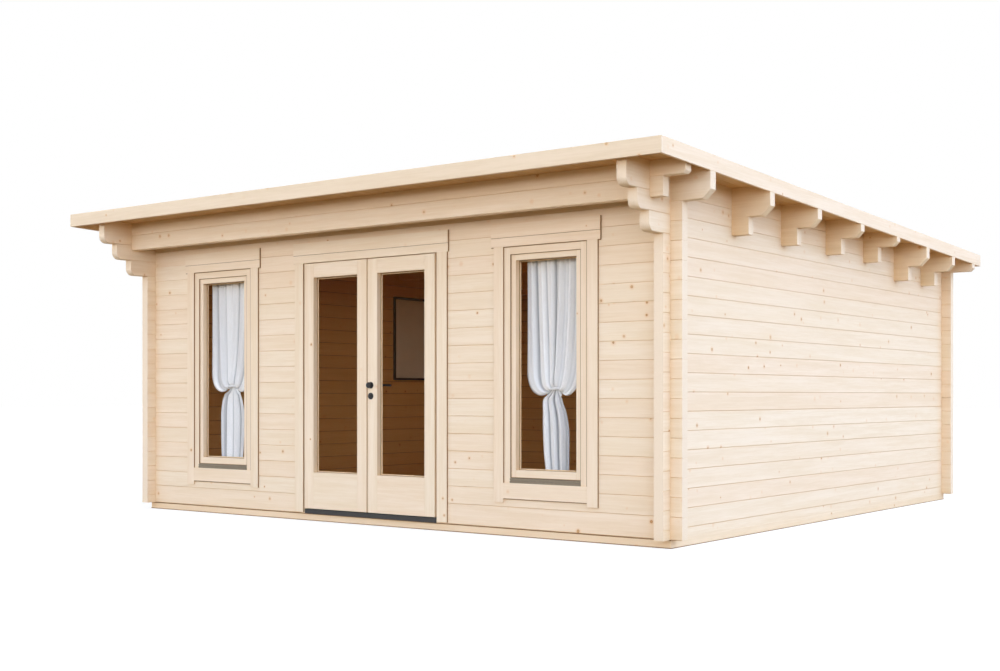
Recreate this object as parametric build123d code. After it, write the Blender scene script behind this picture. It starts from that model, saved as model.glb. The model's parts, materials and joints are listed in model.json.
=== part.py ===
from build123d import *
import os

# Garden chalet of interlocked machine-cut logs under one shallow roof that falls to the back.
# Millimetres. +Z is up, the front faces -Y, and the origin lies on the ground under the middle of the roof.

# Walls
wall_width = 5200.0           # outer face to outer face, left to right
wall_depth = 5200.0           # outer face to outer face, front to back
log_thickness = 70.0
course = 126.5                # height of one log
end_base = 77.0               # level that the courses of the front and back walls are counted from
side_base = -6.0              # the same for the side walls, which lie between the others
log_edge = 5.0                # bevel along the lower edges, which draws the seam between two logs
corner_overrun = 88.0         # how far a log runs past the wall that it crosses
end_notch_low = 22.0          # notch in the underside of a front or back log where a side log crosses it
end_courses = 17              # whole courses in the front and back walls, below the top logs
side_courses = 17             # whole courses in the side walls, above the half log

# Base and floor
bearer_height = 57.0
bearer_recess = 12.0          # bearers stand back from the front and back wall faces
floor_thickness = 28.0
joist_width = 70.0
joist_count = 6

# Roof
top_log_height = 92.0         # front wall's topmost log, at its outer face, up to the roof's underside
back_top_log_height = 115.0   # back wall's topmost log, at its inner face
top_log_bevel_share = 0.26    # lower corner of each end of the top logs, as a share of their height
roof_fall_share = 0.0357      # drop of the roof for each unit of depth
front_overhang = 612.0
back_overhang = 160.0
side_overhang = 292.0
deck_thickness = 40.0
felt_thickness = 5.0
fascia_height = 104.0
fascia_thickness = 20.0
fascia_drop = 45.0            # how far the fascia hangs below the underside of the roof

# Purlins and the stepped corbels that carry the eaves beam
purlin_first = 850.0          # front face of the first purlin, behind the front wall's outer face
purlin_pitches = (785.0, 807.0, 763.0, 698.0, 663.0)   # from each purlin to the next one behind it
purlin_bottoms = (-14.0, -14.0, -14.0, -14.0, -119.0, -119.0)   # above the top of the whole end courses
purlin_set_back = 2.0         # purlin ends behind the outer faces of the side fascias
purlin_bevel_share = 0.31     # lower corner of each outer end, as a share of the purlin's height
bracket_height = 122.0
bracket_reach = 128.0
beam_stand_off = 255.0        # front face of the eaves beam in front of the front wall
beam_upper_reach = 255.0
beam_lower_reach = 96.0
beam_upper_bevel = 18.0
corbel_reaches = (262.0, 405.0, 535.0)   # bottom, middle and top corbel, in front of the front wall
corbel_round = 58.0

# Door and windows
opening_shift = 20.0          # all three openings lie this far left of the front wall's middle

# Double door
leaf_pair_width = 1332.0
threshold_height = 35.0
head_depth = 74.0             # door's head, below the top of the opening
leaf_thickness = 56.0
leaf_gap = 6.0                # leaf to frame, all round
meeting_gap = 12.0            # between the two leaves
flange_overlap = 18.0         # each leaf's inner flange laps over the frame from inside
flange_thickness = 18.0
flange_seat = 60.0            # flange on the leaf's own back
stile_width = 97.0
top_rail_height = 112.0
bottom_rail_height = 284.0
pane_thickness = 6.0
pane_recess = 42.0            # glass behind the front of its frame
jamb_width = 50.0
door_trim_width = 92.0
door_trim_reveal = 14.0       # strip of jamb left bare beside the trim
door_trim_bottom = 66.0
threshold_projection = 6.0

# Trim boards shared by the door and the windows
trim_thickness = 14.0
header_lip = 4.0              # upper board of a header stands this far proud of the lower one
door_header_height = 158.0
door_header_step = 64.0       # height of a header's lower board
door_header_ear = 12.0

# Hinges and door furniture
hinge_count = 3
hinge_end_distance = 190.0    # centre of the outer hinges from the leaf's ends
knuckle_radius = 6.0
knuckle_sides = 12
knuckle_length = 40.0
knuckle_gap = 1.0
hinge_pin_radius = 3.0
hinge_pin_fit = 0.05
hinge_pin_length = 36.0
flap_width = 30.0
flap_thickness = 2.0
axis_stand_off = 7.0          # hinge axis behind the flange
barrel_clearance = 1.0        # hinge barrel beside the flange's edge
handle_inset = 34.0           # from the leaf's meeting edge
handle_height = 1063.0
lock_height = 981.0
rose_radius = 25.0
rose_thickness = 8.0
rose_bevel = 2.0
knob_radius = 22.0
knob_neck_radius = 10.0
knob_reach = 38.0
knob_depth = 20.0
knob_bevel = 6.0
lock_reach = 14.0
lock_core_radius = 16.0
lock_bevel = 2.0
lever_length = 115.0
lever_radius = 9.0
lever_reach = 48.0
furniture_sides = 16

# Windows
window_offset = 1640.0        # centre of each window from the middle of the door
window_opening_width = 740.0
window_first_course = 2       # the opening starts above this many whole courses
window_trim_lap = 64.0        # side trims over the logs, past the opening
window_trim_width = 84.0
window_trim_tail = 29.0       # side trims below the sill board
window_header_lap = 76.0      # header below the top of the opening
window_header_height = 158.0
window_header_step = 65.0
window_header_ear = 22.0
frame_face = 55.0             # frame seen inside the trims
frame_set_back = 10.0         # frame behind the front of the trims
sash_set_back = 10.0          # sash behind the front of the frame
sash_thickness = 56.0
sash_gap = 3.0
sash_stile = 39.0
sash_top_rail = 39.0
sash_bottom_rail = 53.0
sill_rise = 45.0              # sill board above the bottom of the opening
sill_board_height = 110.0
drip_bar_height = 37.0
drip_bar_projection = 6.0

# Curtains
rod_radius = 8.0
rod_sides = 16
rod_length = 820.0
rod_drop = 39.0               # rod centre below the top of the window's opening
rod_stand_off = 60.0          # rod centre behind the inner face of the wall
rod_bracket_size = 18.0
rod_bracket_inset = 30.0
curtain_thickness = 64.0
curtain_width = 520.0
curtain_bottom = 330.0
curtain_tie_height = 1035.0
curtain_tie_width = 190.0
curtain_tail_width = 270.0
curtain_shift = 30.0          # curtain centre to the left of the window's centre
curtain_rod_gap = 0.5

# Framed board inside, on the left wall
picture_place = 3110.0        # nearer edge, behind the front wall's outer face
picture_width = 600.0
picture_height = 880.0
picture_bottom = 1150.0
picture_bar = 24.0
picture_depth = 20.0
picture_board_thickness = 6.0

cut_overrun = 50.0            # how far every cutter reaches past what it cuts

# Derived places
half_width = wall_width / 2
front_y = -(wall_depth + back_overhang - front_overhang) / 2
back_y = front_y + wall_depth
roof_front_y = front_y - front_overhang
roof_back_y = back_y + back_overhang
roof_half_width = half_width + side_overhang
fascia_inner = roof_half_width - fascia_thickness
purlin_end = roof_half_width - purlin_set_back
core = course / 2
end_notch_high = course - core - end_notch_low
side_notch_low = end_base - side_base + end_notch_low + core - course
side_notch_high = course - core - side_notch_low
inner_half = half_width - log_thickness
inner_front_y = front_y + log_thickness
inner_back_y = back_y - log_thickness
end_top = end_base + end_courses * course
soffit_height = end_top + course + top_log_height
opening_top = end_top - course
leaf_bottom = bearer_height + threshold_height + leaf_gap
leaf_top = opening_top - head_depth - leaf_gap
jamb_inner = leaf_pair_width / 2 + leaf_gap
jamb_outer = jamb_inner + jamb_width
leaf_front_y = front_y - trim_thickness
leaf_back_y = leaf_front_y + leaf_thickness
flange_back_y = leaf_back_y + flange_thickness
jamb_back_y = leaf_back_y - leaf_gap
window_bottom = end_base + window_first_course * course
window_header_bottom = opening_top - window_header_lap
sill_board_top = window_bottom + sill_rise
sill_board_bottom = sill_board_top - sill_board_height
window_trim_bottom = sill_board_bottom - window_trim_tail
window_trim_outer = window_opening_width + 2 * window_trim_lap
rod_height = opening_top - rod_drop
beam_front_y = front_y - beam_stand_off
beam_back_y = beam_front_y + log_thickness
purlin_places = [(front_y + purlin_first + sum(purlin_pitches[:i]), end_top + bottom)
                 for i, bottom in enumerate(purlin_bottoms)]


def soffit(y):
    """Height of the roof's underside at a place along the depth."""
    return soffit_height - roof_fall_share * (y - front_y)


def block(x, y, z):
    """Plain box between two places on each axis."""
    size = (x[1] - x[0], y[1] - y[0], z[1] - z[0])
    return Pos(x[0], y[0], z[0]) * Box(*size, align=(Align.MIN, Align.MIN, Align.MIN))


def prism_along_x(points, x):
    """Outline of (y, z) points, drawn out from one x to another."""
    plane = Plane(origin=(x[0], 0, 0), x_dir=(0, 1, 0), z_dir=(1, 0, 0))
    return extrude(plane * Polygon(*points, align=None), amount=x[1] - x[0], dir=(1, 0, 0))


def prism_along_y(points, y):
    """Outline of (x, z) points, drawn out from one y to another."""
    plane = Plane(origin=(0, y[1], 0), x_dir=(1, 0, 0), z_dir=(0, -1, 0))
    return extrude(plane * Polygon(*points, align=None), amount=y[1] - y[0], dir=(0, -1, 0))


def bevelled_outline(across, z, bevel=log_edge):
    """Section of a log: a rectangle with its lower edges bevelled."""
    a0, a1 = across
    z0, z1 = z
    foot = [(a0, z0), (a1, z0)]
    if bevel:
        foot = [(a0, z0 + bevel), (a0 + bevel, z0), (a1 - bevel, z0), (a1, z0 + bevel)]
    return foot + [(a1, z1), (a0, z1)]


def roof_layer(low, high, y, x):
    """Sloping layer of the roof between two heights above its underside."""
    points = [(y[0], soffit(y[0]) + low), (y[1], soffit(y[1]) + low),
              (y[1], soffit(y[1]) + high), (y[0], soffit(y[0]) + high)]
    return prism_along_x(points, x)


above_soffit = roof_layer(0, soffit_height, (roof_front_y - cut_overrun, roof_back_y + cut_overrun),
                          (-roof_half_width - cut_overrun, roof_half_width + cut_overrun))
fascia_rebates = [roof_layer(-fascia_drop, soffit_height, (roof_front_y, roof_back_y), x)
                  for x in ((-roof_half_width - cut_overrun, -fascia_inner),
                            (fascia_inner, roof_half_width + cut_overrun))]


def crossing(x, y, z, top, bottom):
    """Cutters for one corner joint: notches of two depths in the top and the bottom of the log between z."""
    cutters = []
    if top:
        cutters.append(block(x, y, (z[1] - top, z[1] + cut_overrun + course)))
    if bottom:
        cutters.append(block(x, y, (z[0] - cut_overrun, z[0] + bottom)))
    return cutters


def solids_of(shape):
    """List of the solids in a shape."""
    return list(shape.solids())


def cut(shape, cutters):
    """Shape with every cutter taken away, as a list of solids."""
    if not cutters:
        return solids_of(shape)
    result = shape.cut(*[c.solid() for c in cutters])
    return [s for part in (result if isinstance(result, list) else [result]) for s in part.solids()]


def end_wall(y, levels, openings, top_logs, open_top):
    """Logs of the front or back wall between the levels; openings are (x range, courses)."""
    logs = {}
    y_range = (y, y + log_thickness)
    wide_y = (y - cut_overrun, y + log_thickness + cut_overrun)
    last = len(levels) - 2
    for k, z in enumerate(zip(levels, levels[1:])):
        under_roof = k > last - top_logs
        joined_below = k > last - top_logs + 1
        reach = purlin_end if under_roof else half_width + corner_overrun
        breaks = [x for x, courses in openings if k in courses]
        edges = [-reach] + [e for b in sorted(breaks) for e in b] + [reach]
        cutters = []
        for j in range(side_courses + 2):
            low = side_base + j * course + side_notch_low
            high = low + core
            if high <= z[0] or low >= z[1]:
                continue
            if open_top and k == last:
                high = z[1] + cut_overrun
            cutters += [block(side, wide_y, (low, high))
                        for side in ((-half_width, -inner_half), (inner_half, half_width))]
        if under_roof:
            cutters += [above_soffit] + fascia_rebates
            if not joined_below:
                bevel = top_log_bevel_share * (soffit(y) - z[0])
                cutters += end_bevels(reach, y_range, z[0], bevel)
        outline = bevelled_outline(y_range, z, 0 if joined_below else log_edge)
        pieces = []
        for x0, x1 in zip(edges[0::2], edges[1::2]):
            pieces += cut(prism_along_x(outline, (x0, x1)), cutters)
        logs[k] = pieces
    return logs


def end_bevels(reach, y, z0, bevel):
    """Cutters that bevel the lower corner of both outer ends of a log along X."""
    wide = (y[0] - cut_overrun, y[1] + cut_overrun)
    cutters = []
    for side in (-1, 1):
        points = [(side * (reach - bevel - cut_overrun), z0 - cut_overrun),
                  (side * (reach + cut_overrun), z0 - cut_overrun),
                  (side * (reach + cut_overrun), z0 + bevel + cut_overrun)]
        cutters.append(prism_along_y(points, wide))
    return cutters


def side_wall(side):
    """Logs of one side wall by course number; course 0 is the half log on the bearer."""
    logs = {}
    x = sorted((side * inner_half, side * half_width))
    wide_x = (x[0] - cut_overrun, x[1] + cut_overrun)
    front_joint = (front_y, inner_front_y)
    back_joint = (inner_back_y, back_y)
    beam_joint = (beam_front_y, beam_back_y)
    first_corbel = side_courses - 1
    for j in range(side_courses + 2):
        z = (side_base + j * course, side_base + (j + 1) * course)
        if j == 0:
            z = (bearer_height, z[1])
        reach = corner_overrun
        if j >= first_corbel:
            reach = corbel_reaches[j - first_corbel]
        y = (front_y - reach, back_y + corner_overrun)
        bottom_edge = log_edge if j else 0
        outline = bevelled_outline(x, z, bottom_edge)
        top_log = j == side_courses + 1
        if top_log:
            z = (z[0], soffit(front_y - reach))
            outline = bevelled_outline(x, z)
        log = prism_along_y(outline, y)
        if j >= first_corbel:
            toe = log.edges().filter_by(Axis.X).group_by(Axis.Y)[0].group_by(Axis.Z)[0]
            log = fillet(toe, corbel_round)
        cutters = []
        if top_log:
            slot = (z[0] + side_notch_low, z[0] + side_notch_low + core)
            for joint in (front_joint, beam_joint):
                cutters.append(block(wide_x, joint, (z[0] - cut_overrun, slot[0])))
                cutters.append(block(wide_x, joint, (slot[1], z[1] + cut_overrun)))
            cutters.append(above_soffit)
        else:
            low_notch = side_notch_low if j else 0
            cutters += crossing(wide_x, front_joint, z, side_notch_high, low_notch)
            cutters += crossing(wide_x, back_joint, z, side_notch_high if j < side_courses else 0, low_notch)
            if j == side_courses:
                cutters += crossing(wide_x, beam_joint, z, side_notch_high, 0)
                cutters.append(above_soffit)
        if j >= first_corbel:
            for place, low in purlin_places:
                if low < z[1]:
                    cutters.append(block(wide_x, (place, place + log_thickness),
                                         (low, soffit_height + cut_overrun)))
        pieces = cut(log, cutters)
        logs[j] = [p for p in pieces if p.bounding_box().size.Z > log_edge]
    return logs


def alternate(logs, remainder):
    """Solids of every second course, which never touch one another."""
    return [s for k, pieces in logs.items() if k % 2 == remainder for s in pieces]


def eaves_beam():
    """Two logs that lie across the corbels in front of the front wall."""
    y = (beam_front_y, beam_back_y)
    wide_y = (y[0] - cut_overrun, y[1] + cut_overrun)
    z = (end_top, end_top + course)
    joints = ((-half_width, -inner_half), (inner_half, half_width))
    lower_cut = [c for side in joints for c in crossing(side, wide_y, z, end_notch_high, end_notch_low)]
    lower_reach = half_width + beam_lower_reach
    lower = cut(prism_along_x(bevelled_outline(y, z), (-lower_reach, lower_reach)), lower_cut)
    z = (end_top + course, soffit_height + course)
    upper_reach = half_width + beam_upper_reach
    upper_cut = [c for side in joints for c in crossing(side, wide_y, z, 0, end_notch_low)]
    upper_cut += end_bevels(upper_reach, y, z[0], beam_upper_bevel) + [above_soffit]
    outline = bevelled_outline(y, z)
    upper = cut(prism_along_x(outline, (-upper_reach, upper_reach)), upper_cut)
    return lower, upper


def purlins():
    """Roof purlins from eave to eave, with bevelled ends and a block under each end."""
    bars = []
    blocks = []
    for place, low in purlin_places:
        y = (place, place + log_thickness)
        bevel = purlin_bevel_share * (soffit(place) - low)
        points = [(y[0], low), (y[1], low), (y[1], soffit(y[1])), (y[0], soffit(y[0]))]
        bars += cut(prism_along_x(points, (-purlin_end, purlin_end)),
                    end_bevels(purlin_end, y, low, bevel) + fascia_rebates)
        for side in (-1, 1):
            x = sorted((side * half_width, side * (half_width + bracket_reach)))
            blocks.append(block(x, y, (low - bracket_height, low)))
    return bars, blocks


def roof():
    """Boarded deck, felt and the fascia boards round the four edges."""
    inner_y = (roof_front_y + fascia_thickness, roof_back_y - fascia_thickness)
    deck = roof_layer(0, deck_thickness, inner_y, (-fascia_inner, fascia_inner))
    felt = roof_layer(deck_thickness, deck_thickness + felt_thickness, inner_y,
                      (-fascia_inner, fascia_inner))
    rise = fascia_height - fascia_drop
    full_x = (-roof_half_width, roof_half_width)
    front = roof_layer(-fascia_drop, rise, (roof_front_y, inner_y[0]), full_x)
    back = roof_layer(-fascia_drop, rise, (inner_y[1], roof_back_y), full_x)
    sides = [roof_layer(-fascia_drop, rise, inner_y, x)
             for x in ((-roof_half_width, -fascia_inner), (fascia_inner, roof_half_width))]
    return [deck], [felt], [front], [back], sides


def base():
    """Bearers on the ground, floor joists between them and the boarded floor."""
    z = (0, bearer_height)
    ends = [block((-half_width, half_width), (front_y + bearer_recess, inner_front_y), z),
            block((-half_width, half_width), (inner_back_y, back_y - bearer_recess), z)]
    sides = [block(sorted((s * inner_half, s * half_width)), (inner_front_y, inner_back_y), z)
             for s in (-1, 1)]
    clear = 2 * inner_half - joist_width
    joists = []
    for i in range(joist_count):
        x = -inner_half + joist_width / 2 + clear * (i + 1 / 2) / joist_count
        joists.append(block((x - joist_width / 2, x + joist_width / 2), (inner_front_y, inner_back_y), z))
    floor = block((-inner_half, inner_half), (inner_front_y, inner_back_y),
                  (bearer_height, bearer_height + floor_thickness))
    return ends, sides, joists, [floor]


def header(centre, half, bottom, height, step, trim_back):
    """Header over an opening: a lower board with a slightly thicker one over it."""
    face = trim_back - trim_thickness
    points = [(trim_back, bottom), (face, bottom), (face, bottom + step), (face - header_lip, bottom + step),
              (face - header_lip, bottom + height), (trim_back, bottom + height)]
    return prism_along_x(points, (centre - half, centre + half))


def door_frame():
    """Frame, trims and threshold of the double door, whose leaves open into the room."""
    y = (front_y, jamb_back_y)
    z = (bearer_height, opening_top)
    head_low = leaf_top + leaf_gap
    jambs = [block(sorted((s * jamb_inner, s * jamb_outer)), y, z) for s in (-1, 1)]
    head = block((-jamb_inner, jamb_inner), y, (head_low, opening_top))
    threshold_top = leaf_bottom - leaf_gap
    trim_y = (front_y - trim_thickness, front_y)
    trim_inner = jamb_inner + door_trim_reveal
    trim_outer = trim_inner + door_trim_width
    trims = [block(sorted((s * trim_inner, s * trim_outer)), trim_y, (door_trim_bottom, head_low))
             for s in (-1, 1)]
    top = header(0, trim_outer + door_header_ear, head_low, door_header_height, door_header_step, front_y)
    threshold = block((-jamb_inner, jamb_inner), (front_y - threshold_projection, inner_front_y),
                      (bearer_height, threshold_top))
    return jambs, [head], trims, [top], [threshold]


def hinge_heights():
    """Height of the joint between the two knuckles of each hinge."""
    low = leaf_bottom + hinge_end_distance
    step = (leaf_top - hinge_end_distance - low) / (hinge_count - 1)
    return [low + i * step for i in range(hinge_count)]


def hinge_axis(side):
    """Place of a leaf's hinge axis in plan."""
    reach = leaf_pair_width / 2 + flange_overlap + barrel_clearance + knuckle_radius
    return side * reach, flange_back_y + axis_stand_off


def upright(section, x, y, z):
    """Section drawn up from one height to another."""
    return extrude(Pos(x, y, z[0]) * section, amount=z[1] - z[0], dir=(0, 0, 1))


def barrel(x, y, low):
    """Outer shape of one hinge knuckle."""
    return upright(RegularPolygon(knuckle_radius, knuckle_sides), x, y, (low, low + knuckle_length))


def leaf(side):
    """One glazed door leaf; side is -1 for the left leaf and 1 for the right one."""
    y = (leaf_front_y, leaf_back_y)
    z = (leaf_bottom, leaf_top)
    inner = meeting_gap / 2
    outer = leaf_pair_width / 2
    stile_x = [(inner, inner + stile_width), (outer - stile_width, outer)]
    rail_x = sorted((side * (inner + stile_width), side * (outer - stile_width)))
    flange_y = (leaf_back_y, flange_back_y)
    flange_z = (leaf_top - flange_seat, leaf_top + flange_overlap)
    flange_x = sorted((side * (outer - flange_seat), side * (outer + flange_overlap)))
    stiles = [block(sorted((side * a, side * b)), y, z) for a, b in stile_x]
    stiles[0] += block(sorted((side * inner, side * (inner + stile_width))), flange_y, flange_z)
    stiles[1] += block(flange_x, flange_y, (leaf_bottom, flange_z[1]))
    stiles[1] += block(sorted((side * (outer - stile_width), side * outer)), flange_y, flange_z)
    rails = [block(rail_x, y, (leaf_bottom, leaf_bottom + bottom_rail_height)),
             block(rail_x, y, (leaf_top - top_rail_height, leaf_top)) + block(rail_x, flange_y, flange_z)]
    pane_y = (leaf_front_y + pane_recess, leaf_front_y + pane_recess + pane_thickness)
    pane = block(rail_x, pane_y, (leaf_bottom + bottom_rail_height, leaf_top - top_rail_height))
    ax, ay = hinge_axis(side)
    knuckles = []
    flap_x = sorted((ax, ax - side * flap_width))
    for joint_z in hinge_heights():
        low = joint_z + knuckle_gap
        flap = block(flap_x, (flange_back_y, flange_back_y + flap_thickness), (low, low + knuckle_length))
        bore = upright(Circle(hinge_pin_radius + hinge_pin_fit), ax, ay, (low, low + knuckle_length))
        knuckles += solids_of(barrel(ax, ay, low) + flap - bore)
    return stiles, rails, [pane], knuckles


def frame_hinges():
    """Lower knuckles with their pins, on blocks behind the door's frame."""
    parts = []
    for side in (-1, 1):
        ax, ay = hinge_axis(side)
        flap_x = sorted((ax, ax + side * flap_width))
        for joint_z in hinge_heights():
            low = joint_z - knuckle_length
            pin = upright(Circle(hinge_pin_radius), ax, ay, (joint_z, joint_z + hinge_pin_length))
            post = block(flap_x, (jamb_back_y, ay), (low, joint_z))
            parts += solids_of(barrel(ax, ay, low) + pin + post)
    return parts


def turned(profile, x, y, z, out):
    """Many-sided turned piece on an axis along Y: profile holds (radius, distance from the leaf's face)."""
    body = None
    for (r0, d0), (r1, d1) in zip(profile, profile[1:]):
        if d0 == d1:
            continue
        sections = []
        for radius, distance in ((r0, d0), (r1, d1)):
            plane = Plane(origin=(x, y + out * distance, z), x_dir=(1, 0, 0), z_dir=(0, -1, 0))
            sections.append(plane * RegularPolygon(radius, furniture_sides))
        if r0 == r1:
            length = extrude(sections[0], amount=d1 - d0, dir=(0, out, 0))
        else:
            length = loft(sections, ruled=True)
        body = length if body is None else body + length
    return body


def rose():
    """Profile of the round plate under each piece of door furniture."""
    return [(rose_radius, 0), (rose_radius, rose_thickness - rose_bevel),
            (rose_radius - rose_bevel, rose_thickness)]


def door_furniture():
    """Outside knob and lock plate, and the inside lever, all on the right leaf."""
    x = meeting_gap / 2 + handle_inset
    neck_end = knob_reach - knob_depth
    knob = rose() + [(knob_neck_radius, rose_thickness), (knob_neck_radius, neck_end),
                     (knob_radius, neck_end + knob_bevel), (knob_radius, knob_reach - knob_bevel),
                     (knob_radius - knob_bevel, knob_reach)]
    lock = rose() + [(lock_core_radius, rose_thickness), (lock_core_radius, lock_reach - lock_bevel),
                     (lock_core_radius - lock_bevel, lock_reach)]
    spindle = rose() + [(lever_radius, rose_thickness), (lever_radius, lever_reach)]
    lever = turned(spindle, x, leaf_back_y, handle_height, 1)
    arm_plane = Plane(origin=(x, leaf_back_y + lever_reach - lever_radius, handle_height),
                      x_dir=(0, 1, 0), z_dir=(1, 0, 0))
    arm = RegularPolygon(lever_radius, furniture_sides)
    lever += extrude(arm_plane * arm, amount=lever_length, dir=(1, 0, 0))
    return (solids_of(turned(knob, x, leaf_front_y, handle_height, -1))
            + solids_of(turned(lock, x, leaf_front_y, lock_height, -1)) + solids_of(lever))


def window(centre):
    """One fixed window: frame, sash, glass, trims, header, sill board and drip bar."""
    half_open = window_opening_width / 2
    trim_outer = window_trim_outer / 2
    trim_inner = trim_outer - window_trim_width
    frame_inner = trim_inner - frame_face
    frame_y = (front_y - trim_thickness + frame_set_back, inner_front_y)
    sash_y = (frame_y[0] + sash_set_back, frame_y[0] + sash_set_back + sash_thickness)
    sash_top = window_header_bottom - frame_face
    drip_top = sill_board_top + drip_bar_height
    sash_half = frame_inner - sash_gap
    glass_half = sash_half - sash_stile
    glass_z = (drip_top + sash_bottom_rail, sash_top - sash_gap - sash_top_rail)
    trim_y = (front_y - trim_thickness, front_y)

    def mirrored(a, b, y, z):
        return [block(sorted((centre + s * a, centre + s * b)), y, z) for s in (-1, 1)]

    jamb_y = (front_y, inner_front_y)
    jambs = []
    for s in (-1, 1):
        wide = block(sorted((centre + s * frame_inner, centre + s * half_open)), jamb_y,
                     (window_bottom, opening_top))
        nose = block(sorted((centre + s * frame_inner, centre + s * trim_inner)), (frame_y[0], front_y),
                     (sill_board_top, window_header_bottom))
        jambs += solids_of(wide + nose)
    inner_x = (centre - frame_inner, centre + frame_inner)
    head = block(inner_x, jamb_y, (sash_top, opening_top))
    head += block(inner_x, (frame_y[0], front_y), (sash_top, window_header_bottom))
    sill = block(inner_x, jamb_y, (window_bottom, sill_board_top))
    drip = block(inner_x, (frame_y[0] - drip_bar_projection, sash_y[1]), (sill_board_top, drip_top))
    stiles = mirrored(glass_half, sash_half, sash_y, (drip_top, sash_top - sash_gap))
    rail_x = (centre - glass_half, centre + glass_half)
    rails = [block(rail_x, sash_y, (drip_top, glass_z[0])),
             block(rail_x, sash_y, (glass_z[1], sash_top - sash_gap))]
    pane_y = (sash_y[0] + pane_recess, sash_y[0] + pane_recess + pane_thickness)
    pane = block(rail_x, pane_y, glass_z)
    trims = mirrored(trim_inner, trim_outer, trim_y, (window_trim_bottom, window_header_bottom))
    top = header(centre, trim_outer + window_header_ear, window_header_bottom, window_header_height,
                 window_header_step, front_y)
    board = block((centre - trim_inner, centre + trim_inner), trim_y, (sill_board_bottom, sill_board_top))
    return {"window_frame_jambs": jambs, "window_frame_heads_and_sills": [head, sill],
            "window_drip_bars": [drip], "window_sash_stiles": stiles, "window_sash_rails": rails,
            "window_panes": [pane], "window_side_trims": trims, "window_headers": [top],
            "window_sill_boards": [board]}


def curtain_rod(centre):
    """Round rod on two wall brackets behind a window's head."""
    y = inner_front_y + rod_stand_off
    plane = Plane(origin=(centre - rod_length / 2, y, rod_height), x_dir=(0, 1, 0), z_dir=(1, 0, 0))
    rod = extrude(plane * RegularPolygon(rod_radius, rod_sides), amount=rod_length)
    half = rod_bracket_size / 2
    for s in (-1, 1):
        x = centre + s * (rod_length / 2 - rod_bracket_inset)
        rod += block((x - half, x + half), (inner_front_y, y), (rod_height - half, rod_height + half))
    return solids_of(rod)


def curtain(centre):
    """Plain body of one curtain: gathered on the rod, tied low down, with a hanging tail."""
    y = inner_front_y + rod_stand_off
    middle = centre - curtain_shift
    top = rod_height - rod_radius - curtain_rod_gap
    outline = [(-curtain_width / 2, top), (-curtain_width / 2, curtain_tie_height + curtain_width / 2),
               (-curtain_tie_width / 2, curtain_tie_height), (-curtain_tail_width / 2, curtain_bottom),
               (curtain_tail_width / 2, curtain_bottom), (curtain_tie_width / 2, curtain_tie_height),
               (curtain_width / 2, curtain_tie_height + curtain_width / 2), (curtain_width / 2, top)]
    points = [(middle + dx, z) for dx, z in outline]
    return [prism_along_y(points, (y - curtain_thickness / 2, y + curtain_thickness / 2)).solid()]


def picture():
    """Plain framed board on the inner face of the left wall."""
    y = (front_y + picture_place, front_y + picture_place + picture_width)
    z = (picture_bottom, picture_bottom + picture_height)
    inner_y = (y[0] + picture_bar, y[1] - picture_bar)
    inner_z = (z[0] + picture_bar, z[1] - picture_bar)
    frame = block((-inner_half, -inner_half + picture_depth), y, z)
    frame -= block((-inner_half - cut_overrun, -inner_half + picture_depth + cut_overrun), inner_y, inner_z)
    board = block((-inner_half, -inner_half + picture_board_thickness), inner_y, inner_z)
    return [frame], [board]


def shifted(solids):
    """Solids of the door, moved to the middle of its opening."""
    return [Pos(-opening_shift, 0, 0) * s for s in solids]


nodes = {}

window_half = window_opening_width / 2
window_courses = range(window_first_course, end_courses - 1)
window_centres = (-opening_shift - window_offset, -opening_shift + window_offset)
front_openings = [((x - window_half, x + window_half), window_courses) for x in window_centres]
front_openings.append(((-opening_shift - jamb_outer, -opening_shift + jamb_outer), range(end_courses - 1)))
whole_levels = [bearer_height] + [end_base + k * course for k in range(1, end_courses + 1)]
front = end_wall(front_y, whole_levels + [end_top + course, soffit_height], front_openings, 2, False)
back_levels = whole_levels[:-1] + [soffit(inner_back_y) - back_top_log_height, soffit_height]
back = end_wall(inner_back_y, back_levels, [], 1, True)
left = side_wall(-1)
right = side_wall(1)
for name, logs in (("front", front), ("back", back), ("left", left), ("right", right)):
    nodes[f"{name}_wall_even_logs"] = alternate(logs, 0)
    nodes[f"{name}_wall_odd_logs"] = alternate(logs, 1)

nodes["front_and_back_bearers"], nodes["side_bearers"], nodes["floor_joists"], nodes["floor"] = base()
nodes["eaves_beam_lower_log"], nodes["eaves_beam_upper_log"] = eaves_beam()
nodes["purlins"], nodes["purlin_brackets"] = purlins()
(nodes["roof_deck"], nodes["roof_felt"], nodes["front_fascia"], nodes["back_fascia"],
 nodes["side_fascias"]) = roof()
for name, solids in zip(("door_jambs", "door_head", "door_side_trims", "door_header", "door_threshold"),
                        door_frame()):
    nodes[name] = shifted(solids)
nodes["door_frame_hinges"] = shifted(frame_hinges())
for name, side in (("left_leaf", -1), ("right_leaf", 1)):
    for piece, solids in zip(("stiles", "rails", "glass", "hinges"), leaf(side)):
        nodes[f"{name}_{piece}"] = shifted(solids)
nodes["door_furniture"] = shifted(door_furniture())
for centre in window_centres:
    for name, solids in window(centre).items():
        nodes[name] = nodes.get(name, []) + solids
nodes["picture_frame"], nodes["picture_board"] = picture()
nodes["curtain_rods"] = curtain_rod(window_centres[0]) + curtain_rod(window_centres[1])
nodes["left_curtain"] = curtain(window_centres[0])
nodes["right_curtain"] = curtain(window_centres[1])

os.makedirs("parts", exist_ok=True)
for name, solids in nodes.items():
    shape = Compound(children=[s.solid() for s in solids]) if len(solids) > 1 else solids[0].solid()
    export_step(shape, f"parts/{name}.step")
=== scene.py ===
import json
import math

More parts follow.
